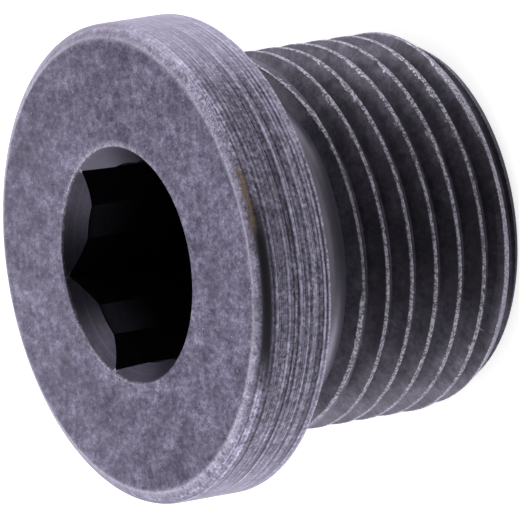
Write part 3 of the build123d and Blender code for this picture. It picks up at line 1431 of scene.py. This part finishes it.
class ThreadRule(RuleTree):
    """The group that makes the thread.

    Each turn takes a block of rows: the land above a groove, the groove's upper flank, its root and its
    lower flank.  Rows meet the turned surface exactly where a flank cuts it, so every edge of the thread is
    a line of the mesh.  Blocks that have run out into the relief or past the end face shrink to a point.

    Attributes:
        SPLIT_HEIGHT: Lands above it break at the relief's edge, and lands below it at the lead-in cone.
        END_HEIGHT: Heights below it lie on the end face.
        ABSENT_LIFT: How many thread depths outwards an absent groove is moved.
        NICK_RADIUS: Radius at which the pattern of the nicks is read.
        NICK_START: Value of the pattern above which a crest is nicked.
        NICK_RISE: How fast the nicks deepen above that value.
    """

    SPLIT_HEIGHT = 5.0
    END_HEIGHT = 0.00001
    ABSENT_LIFT = 9.0
    NICK_RADIUS = 10.0
    NICK_START = 0.58
    NICK_RISE = 6.0

    def __init__(self, shank: ThreadedShank) -> None:
        """Starts the group, with the terms that its parts share.

        Args:
            shank: The threaded shank.
        """
        super().__init__("Thread rule")
        self.shank = shank
        columns = self.size("Columns")
        self.named = {name: self.size(name) for name in shank.inputs()}
        self.material = self.socket("Material", "NodeSocketMaterial")
        self.crest, self.end_radius = self.named["Crest Radius"], self.named["End Radius"]
        block_rows = sum(shank.block_steps)
        self.thread_rows = shank.turns * block_rows
        self.grid, column, self.row = self.sheet(columns, self.number(self.thread_rows + shank.cap_steps))
        self.turn = column / columns
        self.edge = self.named["Relief Edge"] + shank.course.edge(self.turn)
        self.top = self.named["Top"] + shank.course.flank(self.turn)
        self.cone_slope = (self.crest - self.end_radius) / self.named["Lead In"]
        self.relief_slope = (self.crest - self.named["Top Radius"]) / (self.top - self.edge)
        self.block = (self.row / block_rows).math("FLOOR").least(shank.turns - 1)
        self.step = self.row - self.block * block_rows

    def groove(self, index: Term) -> Groove:
        """One groove, counted from the relief.

        Args:
            index: The groove's number. The first one fades out round the turn.

        Returns:
            The groove.
        """
        first, fade_turn = index.below(0.5), self.named["Fade Turn"]
        share = 1.0 - first * (self.turn / fade_turn).unit()
        rounding = self.named["Root Round"] * share
        return Groove(
            centre=(self.turn - index) * self.named["Pitch"] + self.named["Fade Height"],
            share=share,
            present=1.0 - first * self.turn.above(fade_turn - 0.0001),
            rounding=rounding,
            half=rounding * math.cos(FLANK_ANGLE),
            low=self.crest - share * self.named["Thread Depth"] + rounding * math.sin(FLANK_ANGLE),
        )

    def upper_cut(self, groove: Groove) -> Term:
        """Height where a groove's upper flank leaves the turned surface.

        Args:
            groove: The groove.

        Returns:
            The height.
        """
        start = groove.centre + groove.half
        on_crest = start + (self.crest - groove.low) / FLANK_SLOPE
        on_cone = self.end_radius - groove.low + start * FLANK_SLOPE
        on_cone = on_cone / ((self.cone_slope - FLANK_SLOPE) * -1.0)
        on_relief = self.crest - groove.low + start * FLANK_SLOPE + self.edge * self.relief_slope
        on_relief = on_relief / (self.relief_slope + FLANK_SLOPE)
        cut = on_crest.least(on_cone, on_relief).most(start)
        return groove.present.choose(cut, groove.centre.least(self.top))

    def lower_cut(self, groove: Groove) -> Term:
        """Height where a groove's lower flank leaves the turned surface.

        Args:
            groove: The groove.

        Returns:
            The height.
        """
        start = groove.centre - groove.half
        on_crest = start - (self.crest - groove.low) / FLANK_SLOPE
        on_cone = (groove.low - self.end_radius + start * FLANK_SLOPE) / (self.cone_slope + FLANK_SLOPE)
        cut = on_crest.most(on_cone).least(start)
        return groove.present.choose(cut, groove.centre.least(self.top))

    def height(self, groove: Groove) -> Term:
        """Height of each point of the sheet.

        Args:
            groove: The groove in the point's own block.

        Returns:
            The height.
        """
        gone = groove.centre.least(self.top)
        land_top = self.block.below(0.5).choose(self.top, self.lower_cut(self.groove(self.block - 1.0)))
        upper_cut = self.upper_cut(groove)
        break_line = land_top.above(self.SPLIT_HEIGHT).choose(self.edge, self.named["Lead In"])
        stops = (
            land_top,
            break_line.most(upper_cut).least(land_top),
            upper_cut,
            groove.present.choose(groove.centre + groove.half, gone),
            groove.present.choose(groove.centre - groove.half, gone),
            self.lower_cut(groove),
        )
        height, passed = land_top, 0
        for first, last, count in zip(stops, stops[1:], self.shank.block_steps):
            height = height + (last - first) * ((self.step - passed) / count).unit()
            passed += count
        return height.most(0.0)

    def radius(self, groove: Groove, height: Term) -> Term:
        """Radius of the turned surface, cut by the groove.

        Args:
            groove: The groove in the point's own block.
            height: The point's height.

        Returns:
            The radius.
        """
        relief = self.crest - (height - self.edge) * self.relief_slope
        turned = self.crest.least(height * self.cone_slope + self.end_radius, relief)
        pitch, depth = self.named["Pitch"], self.named["Thread Depth"]
        along = (height - groove.centre) / pitch
        on_end = height.below(self.END_HEIGHT)
        away = on_end.choose(along.off_whole(), along.math("ABSOLUTE")) * pitch
        across = away.least(groove.half)
        in_root = (groove.rounding * groove.rounding - across * across).most(0.0).math("SQRT")
        cut = self.crest - groove.share * depth + (groove.rounding - in_root)
        cut = cut + (away - groove.half).most(0.0) * FLANK_SLOPE
        return turned.least(cut + (1.0 - groove.present) * depth * self.ABSENT_LIFT)

    def nicks(self, height: Term) -> Term:
        """Depth of the small nicks on the thread's crests.

        Args:
            height: The point's height.

        Returns:
            The depth.
        """
        on_land = self.step.above(0.5) * self.step.below(self.shank.land_steps + 0.5)
        on_land = on_land * height.above(0.02) * height.below(self.edge)
        spot = self.round_axis(self.turn, self.NICK_RADIUS, height + SEED)
        nicks = (self.noise(spot, 0.9, 3.0, 0.7) - self.NICK_START).most(0.0) * self.NICK_RISE
        return on_land * nicks.least(1.0) * self.named["Nick Depth"]

    def shape(self) -> bpy.types.NodeTree:
        """Builds the whole group.

        Returns:
            The group.
        """
        groove = self.groove(self.block)
        height = self.height(groove)
        radius = self.radius(groove, height) - self.nicks(height)
        cap = ((self.row - self.thread_rows) / self.shank.cap_steps).unit()
        surface = self.turned(self.grid, self.turn, radius * (1.0 - cap), height)
        return self.finish(surface, self.material)


@dataclass
class HexSocket:
    """The countersunk hexagon over its drilled pilot bore."""

    name: str
    sizes: PlugSizes
    finish: bpy.types.Material
    mouth_steps: int = 10
    wall_steps: int = 5
    point_steps: int = 2

    def inputs(self) -> dict[str, object]:
        """The group's named inputs.

        Returns:
            The values by name.
        """
        sizes = self.sizes
        hex_floor = sizes.height - sizes.hex_depth
        pilot_floor = hex_floor - sizes.pilot_below_hex
        return {
            "Head Height": sizes.height,
            "Mouth Radius": sizes.mouth_radius,
            "Edge Round": sizes.edge_round,
            "Flat Distance": sizes.hex_flat,
            "Corner Flare": sizes.hex_corner_flare,
            "Pilot Radius": sizes.pilot_radius,
            "Hex Floor": hex_floor,
            "Pilot Floor": pilot_floor,
            "Point": pilot_floor - sizes.pilot_radius / math.tan(math.radians(sizes.drill_point_angle / 2)),
        }

    def rule(self) -> bpy.types.NodeTree:
        """Builds the group that makes the socket.

        Returns:
            The group.
        """
        rule = RuleTree("Hex socket rule")
        columns = rule.size("Columns")
        head, mouth_radius, edge_round, flat, flare, pilot, hex_floor, pilot_floor, tip = (
            rule.size(name) for name in self.inputs()
        )
        material = rule.socket("Material", "NodeSocketMaterial")
        ledge_row = self.mouth_steps + self.wall_steps
        sheet, column, row = rule.sheet(columns, rule.number(ledge_row + 2 + self.point_steps))
        turn = column / columns
        # Angle from the middle of the nearest flat.
        from_flat = ((turn * 6.0 + 0.5).math("FRACT") - 0.5) * (HALF_FLAT_ANGLE * 2)
        to_corner = from_flat / HALF_FLAT_ANGLE
        flat = flat + to_corner * to_corner * flare
        wall = (flat / from_flat.math("COSINE")).most(pilot)
        start = mouth_radius - edge_round * math.sqrt(0.5)
        # How far each point has gone along the countersink, the wall, the ledge, the bore and the point.
        mouth = (row / self.mouth_steps).unit()
        down = ((row - self.mouth_steps) / self.wall_steps).unit()
        ledge = (row - ledge_row).unit()
        bore = (row - (ledge_row + 1)).unit()
        point = ((row - (ledge_row + 2)) / self.point_steps).unit()
        cone = (start + (pilot - start) * mouth).most(wall)
        radius = (cone + (pilot - cone) * ledge) * (1.0 - point)
        wall_top = head - (mouth_radius - wall)
        height = head - (mouth_radius - cone) + (hex_floor - wall_top) * down
        height = height + (pilot_floor - hex_floor) * bore + (tip - pilot_floor) * point
        return rule.finish(rule.turned(sheet, turn, radius, height), material)


@dataclass
class ScrewPlug:
    """The whole plug as one closed shell."""

    sizes: PlugSizes
    course: ReliefCourse
    groups: ShadeGroups

    def materials(self) -> dict[type[Skin], bpy.types.Material]:
        """Builds the material of each part of the plug."""
        kinds = (FaceSkin, ChamferSkin, SideSkin, ReliefSkin, ThreadSkin, SocketSkin)
        return {kind: kind(self.groups, self.sizes, self.course).dressed() for kind in kinds}

    def strips(self, materials: dict[type[Skin], bpy.types.Material]) -> list[TurnedStrip]:
        """The turned strips from the relief's flank over the collar to the socket's mouth.

        Args:
            materials: The materials by kind of skin.

        Returns:
            The strips in order.
        """
        sizes = self.sizes
        flank_radius, flank_z = sizes.relief_flank_top
        corner, flank_angle = sizes.relief_corner, sizes.relief_flank_angle
        centre_radius = sizes.relief_radius + corner
        low_centre = (centre_radius, flank_z + corner * math.cos(math.radians(flank_angle)))
        high_centre = (centre_radius, sizes.collar_back_z - corner)
        burr = sizes.back_burr_round
        burr_start = (sizes.collar_radius - burr, sizes.collar_back_z - sizes.back_burr)
        chamfer_z = sizes.height - sizes.rim_chamfer_axial
        outer_round, inner_round = sizes.rim_chamfer_outer_round, sizes.rim_chamfer_inner_round
        chamfer_fall = sizes.rim_chamfer_axial / sizes.rim_chamfer_radial
        face_edge = (sizes.collar_radius - sizes.rim_chamfer_radial, sizes.height)
        lip_in = sizes.edge_round * math.sqrt(0.5)
        near_mouth = sizes.mouth_radius + 0.2
        relief = (
            Section()
            .to(flank_radius, flank_z)
            .arc(low_centre, corner, 180 + 90 - flank_angle, 180, 5)
            .to(sizes.relief_radius, high_centre[1], 4)
            .arc(high_centre, corner, 180, 90, 6)
            .to(sizes.collar_radius - sizes.back_burr_width, sizes.collar_back_z, 3)
            .to(*burr_start)
        )
        side = (
            Section()
            .to(*burr_start)
            .to(sizes.collar_radius, burr_start[1] + burr)
            .to(sizes.collar_radius, chamfer_z - outer_round, 28)
            .rounded((sizes.collar_radius, chamfer_z), face_edge, outer_round, 8)
        )
        chamfer = (
            Section()
            .to(*side.points[-1])
            .to(face_edge[0] + inner_round, sizes.height - inner_round * chamfer_fall, 5)
            .rounded(face_edge, (0.0, sizes.height), inner_round, 4)
        )
        face = (
            Section()
            .to(*chamfer.points[-1])
            .to(near_mouth, sizes.height, 12)
            .rounded(
                (sizes.mouth_radius, sizes.height),
                (sizes.mouth_radius - lip_in, sizes.height - lip_in),
                sizes.edge_round,
                3,
            )
        )
        return [
            TurnedStrip("Relief", relief, materials[ReliefSkin], 0.004, 1.0, high_centre[1]),
            TurnedStrip("Collar side", side, materials[SideSkin], 0.02),
            TurnedStrip("Chamfer", chamfer, materials[ChamferSkin], 0.012),
            TurnedStrip("Head face", face, materials[FaceSkin], 0.006),
        ]

    def assembly(self) -> tuple[bpy.types.NodeTree, dict[str, object]]:
        """Builds the tree that joins all surfaces into one shell.

        Returns:
            The tree and the values of its inputs by name.
        """
        materials = self.materials()
        rule = RuleTree("Screw plug")
        values: dict[str, object] = {"Columns": float(COLUMNS)}
        columns = rule.size("Columns")
        join = rule.node("GeometryNodeJoinGeometry")

        def place(group: bpy.types.NodeTree, part: TurnedStrip | ThreadedShank | HexSocket) -> None:
            """Adds one surface's group, with its inputs under the surface's own name.

            Args:
                group: The surface's group.
                part: The surface.
            """
            node = rule.node("GeometryNodeGroup", {"node_tree": group}, Columns=columns)
            for name, value in (part.inputs() | {"Material": part.finish}).items():
                full_name = f"{part.name} {name}"
                kind = next(k for sort, k in SOCKET_KINDS.items() if isinstance(value, sort))
                rule.tree.links.new(rule.socket(full_name, kind), node.inputs[name])
                values[full_name] = value
            rule.tree.links.new(node.outputs[0], join.inputs[0])
            log.info("%s: placed", part.name)

        strip_rule = TurnedStrip.rule(self.course)
        for strip in self.strips(materials):
            place(strip_rule, strip)
        shank = ThreadedShank("Thread", self.sizes, self.course, materials[ThreadSkin])
        for part in (shank, HexSocket("Socket", self.sizes, materials[SocketSkin])):
            place(part.rule(), part)
        merged = rule.node("GeometryNodeMergeByDistance", Geometry=join.outputs[0], Distance=MERGE_DISTANCE)
        scaled = rule.node("GeometryNodeTransform", Geometry=merged.outputs[0], Scale=(MM,) * 3)
        real = rule.node("GeometryNodeRealizeInstances", Geometry=scaled.outputs[0])
        return rule.end(real), values

    def build(self) -> bpy.types.Object:
        """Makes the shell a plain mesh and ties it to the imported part.

        Returns:
            The plug.
        """
        tree, values = self.assembly()
        carrier = placed("Shell carrier", bpy.data.meshes.new("Shell carrier"))
        modifier = carrier.modifiers.new("Rule", "NODES")
        modifier.node_group = tree
        for item in tree.interface.items_tree:
            if item.in_out == "INPUT" and item.name in values:
                modifier[item.identifier] = values[item.name]
        graph = bpy.context.evaluated_depsgraph_get()
        mesh = bpy.data.meshes.new_from_object(carrier.evaluated_get(graph), depsgraph=graph)
        carrier.modifiers.remove(modifier)
        for helper in [carrier, *(v for v in values.values() if isinstance(v, bpy.types.Object))]:
            bpy.data.objects.remove(helper)
        self._close(mesh)
        plug = placed("screw_plug_shell", mesh)
        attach(plug, BODY)
        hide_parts(CAD_NODE)
        log.info("%s: %d faces, %d materials", plug.name, len(mesh.polygons), len(mesh.materials))
        return plug

    @staticmethod
    def _close(mesh: bpy.types.Mesh) -> None:
        """Removes faces that shrank to nothing, turns all faces outwards and sets the sharp edges.

        Args:
            mesh: The shell.
        """
        shell = bmesh.new()
        shell.from_mesh(mesh)
        bmesh.ops.remove_doubles(shell, verts=shell.verts[:], dist=MERGE_DISTANCE * MM)
        bmesh.ops.dissolve_degenerate(shell, edges=shell.edges[:], dist=MERGE_DISTANCE * MM)
        bmesh.ops.recalc_face_normals(shell, faces=shell.faces[:])
        open_edges = sum(1 for edge in shell.edges if len(edge.link_faces) != 2)
        log.info("Shell: %d open edges, volume %.1f mm3", open_edges, shell.calc_volume() / MM**3)
        shell.to_mesh(mesh)
        shell.free()
        if mesh.materials[0] is None:
            mesh.materials.pop(index=0)
        mesh.shade_smooth()
        mesh.set_sharp_from_angle(angle=SHARP_ANGLE)


# ------------------------------------------------------------------------------
# Studio
# ------------------------------------------------------------------------------


@dataclass(frozen=True)
class SoftBox:
    """A soft area lamp that looks at the plug."""

    name: str
    place: tuple[float, float, float]
    width: float
    length: float
    power: float
    target: tuple[float, float, float] = (0.0, 0.0, 0.009)

    def build(self) -> bpy.types.Object:
        """Makes the lamp.

        Returns:
            The lamp.
        """
        data = bpy.data.lights.new(self.name, "AREA")
        data.shape = "RECTANGLE"
        data.size, data.size_y = self.width, self.length
        data.energy = self.power
        lamp = placed(self.name, data)
        lamp.location = self.place
        lamp.rotation_euler = (Vector(self.target) - Vector(self.place)).to_track_quat("-Z", "Y").to_euler()
        return lamp


@dataclass(frozen=True)
class Studio:
    """Pale floor, soft light and the camera."""

    camera_place: tuple[float, float, float] = (-0.003576, -0.44396, 0.29292)
    camera_right: tuple[float, float, float] = (-0.16867, -0.52886, -0.83178)
    camera_up: tuple[float, float, float] = (0.98566, -0.09491, -0.13952)
    camera_ahead: tuple[float, float, float] = (0.00516, 0.84339, -0.53728)
    lens: float = 703.06
    sensor: float = 36.0
    floor_size: float = 6.0
    floor_gap: float = 0.00001
    world_level: float = 0.4
    floor_glow: float = 0.62
    dark_side: float = 0.85
    dark_front: float = 0.85
    dark_front_reach: Point = (0.006, -0.022)
    lamps: tuple[SoftBox, ...] = (
        SoftBox("Lamp on the right", (0.55, -0.1, 0.25), 0.5, 0.7, 1.8),
        SoftBox("Lamp on the left", (-0.55, -0.1, 0.25), 0.5, 0.7, 1.8),
        SoftBox("Lamp behind on the right", (0.45, 0.38, 0.4), 0.6, 0.7, 0.9),
        SoftBox("Lamp behind on the left", (-0.45, 0.38, 0.4), 0.6, 0.7, 0.9),
    )

    def build(self) -> None:
        """Makes the floor, the light and the camera."""
        self._floor()
        self._world()
        for lamp in self.lamps:
            lamp.build()
        self._camera()

    def _camera(self) -> None:
        """Places the camera."""
        data = bpy.data.cameras.new("Camera")
        data.lens, data.sensor_width = self.lens, self.sensor
        data.clip_start, data.clip_end = 0.01, 20.0
        camera = placed("Camera", data)
        axes = (Vector(self.camera_right), Vector(self.camera_up), -Vector(self.camera_ahead))
        turn = Matrix([axis.normalized() for axis in axes]).transposed()
        camera.matrix_world = Matrix.Translation(self.camera_place) @ turn.to_4x4()
        bpy.context.scene.camera = camera

    @staticmethod
    def _rays(tree: Tree, *kinds: str) -> Term:
        """1 for rays of these kinds, and 0 for all others."""
        path = tree.node("ShaderNodeLightPath").outputs
        return reduce(Term.most, (tree.term(path[f"Is {kind} Ray"]) for kind in kinds))

    def _floor(self) -> None:
        """Lays the pale floor under the thread's end."""
        half = self.floor_size / 2
        mesh = bpy.data.meshes.new("Floor")
        ends = ((-half, -half), (half, -half), (half, half), (-half, half))
        corners = [(x, y, -self.floor_gap) for x, y in ends]
        mesh.from_pydata(corners, [], [(0, 1, 2, 3)])
        material = blank_material("Pale floor")
        tree = Tree(material.node_tree)
        mirrored = self._rays(tree, "Glossy", "Transmission")
        _, ahead, _ = tree.parts(tree.node("ShaderNodeTexCoord").outputs["Object"])
        dark = ahead.ramp(*self.dark_front_reach) * self.dark_front
        seen = self._rays(tree, "Camera").most(mirrored * (1.0 - dark))
        matt = tree.node("ShaderNodeBsdfDiffuse", Color=(0.8, 0.8, 0.8, 1.0))
        glow = tree.node("ShaderNodeEmission", Color=(1.0, 1.0, 1.0, 1.0), Strength=seen * self.floor_glow)
        total = tree.node("ShaderNodeAddShader")
        tree.tree.links.new(matt.outputs[0], total.inputs[0])
        tree.tree.links.new(glow.outputs[0], total.inputs[1])
        tree.node("ShaderNodeOutputMaterial", Surface=total.outputs[0])
        mesh.materials.append(material)
        floor = placed("Floor", mesh)

    def _world(self) -> None:
        """Fills the studio with even pale light."""
        world = bpy.data.worlds.new("Studio")
        world.use_nodes = True
        tree = Tree(world.node_tree)
        background = next(n for n in world.node_tree.nodes if n.type == "BACKGROUND")
        mirrored = self._rays(tree, "Glossy", "Transmission")
        aside, ahead, _ = tree.parts(tree.node("ShaderNodeTexCoord").outputs["Generated"])
        room = 1.0 - (aside.math("ABSOLUTE") + ahead * 0.9).ramp(0.8, 0.1) * self.dark_side
        background.inputs["Color"].default_value = (1.0, 1.0, 1.0, 1.0)
        strength = self._rays(tree, "Camera").choose(1.0, mirrored.choose(room, self.world_level))
        tree.fill(background, "Strength", strength)
        bpy.context.scene.world = world


def main() -> None:
    """Builds the plug and the studio."""
    logging.basicConfig(level=logging.INFO, format="%(name)s: %(message)s")
    sizes = PlugSizes(height=cad_high.z / MM, collar_radius=cad_high.x / MM)
    ScrewPlug(sizes, ReliefCourse(), ShadeGroups()).build()
    Studio().build()
    bpy.context.scene.view_settings.view_transform = "Standard"


if __name__ == "__main__":
    main()
